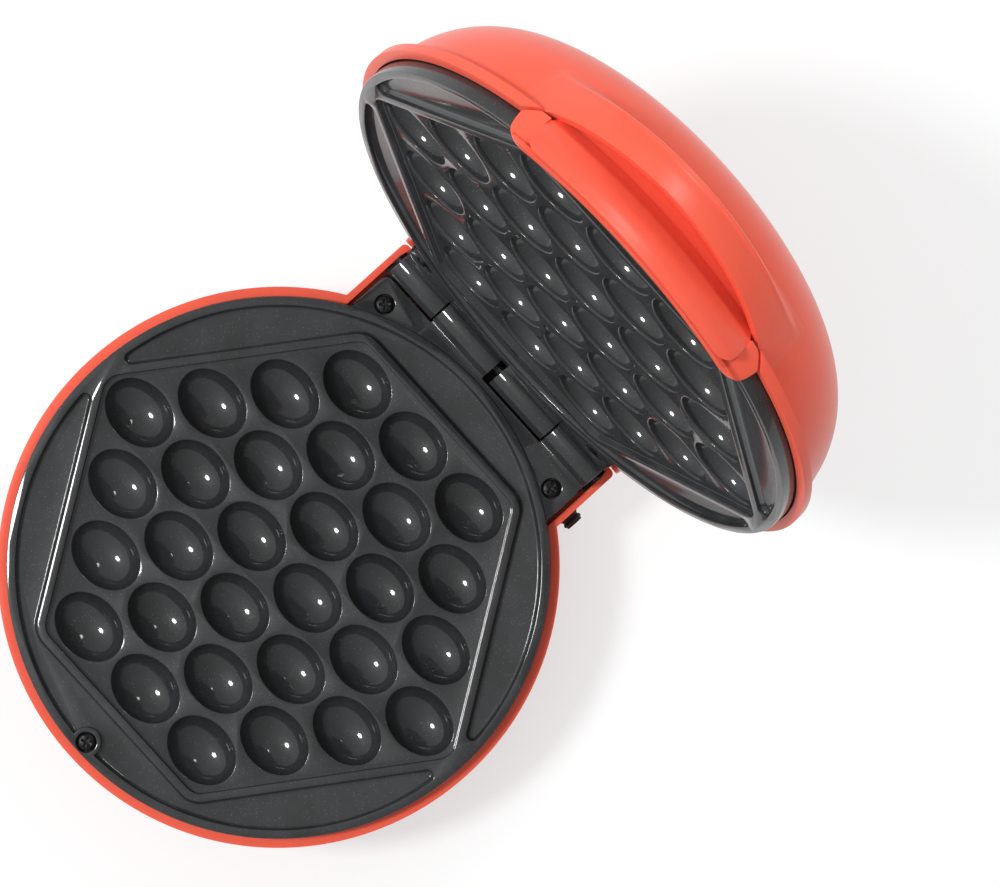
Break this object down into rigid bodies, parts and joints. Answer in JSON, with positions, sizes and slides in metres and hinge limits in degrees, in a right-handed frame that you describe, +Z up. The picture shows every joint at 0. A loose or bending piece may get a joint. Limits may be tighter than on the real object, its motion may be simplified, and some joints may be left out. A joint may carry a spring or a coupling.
{
  "type": "bubble waffle maker",
  "caption": "Round countertop bubble waffle maker with its lid open: domed shells, egg-cavity plates on an interleaved hinge, a moulded front handle and rubber feet.",
  "frame": {"origin": "on the table under the middle of the open appliance's footprint", "axes": "+X to the right as seen from the front, +Y from the front to the hinge, +Z up from the table"},
  "size_m": [0.208, 0.2997, 0.2641],
  "materials": {
    "coral_plastic": "satin moulded plastic",
    "nonstick_coating": "cast, with a speckled dark non-stick coat",
    "black_steel": "blackened",
    "bright_steel": "plain",
    "reflector_sheet": "rolled sheet",
    "black_rubber": "matte",
    "grey_plastic": "matte moulded",
    "ceramic": "unglazed",
    "red_lens": "clear gloss",
    "green_lens": "clear gloss"
  },
  "bodies": {
    "base": {"base_shell": "coral_plastic", "bottom_cover": "grey_plastic", "lower_plate": "nonstick_coating", "lower_heating_element": "bright_steel", "lower_reflector": "reflector_sheet", "lower_thermostat": "grey_plastic", "lower_plate_screw_front": "black_steel", "lower_plate_screw_hinge_left": "black_steel", "lower_plate_screw_hinge_right": "black_steel", "terminal_block": "ceramic", "thermal_fuse": "bright_steel", "cord_gland": "black_rubber", "hinge_pin": "black_steel", "hinge_guard": "black_rubber", "foot_front_left": "black_rubber", "foot_front_right": "black_rubber", "foot_rear_left": "black_rubber", "foot_rear_right": "black_rubber", "cover_screw_front_left": "black_steel", "cover_screw_front_right": "black_steel", "cover_screw_rear_left": "black_steel", "cover_screw_rear_right": "black_steel"},
    "lid": {"lid_shell": "coral_plastic", "handle_tongue": "coral_plastic", "handle_lip": "coral_plastic", "upper_plate": "nonstick_coating", "upper_heating_element": "bright_steel", "upper_reflector": "reflector_sheet", "upper_thermostat": "grey_plastic", "upper_plate_screw_front": "black_steel", "upper_plate_screw_hinge_left": "black_steel", "upper_plate_screw_hinge_right": "black_steel", "power_lens": "red_lens", "ready_lens": "green_lens"}
  },
  "joints": [
    {"name": "lid_hinge", "type": "hinge", "parent": "base", "child": "lid", "pos_m": [0, 0.0636, 0.05], "axis": [1, 0, 0], "range_deg": [0, 102]}
  ]
}
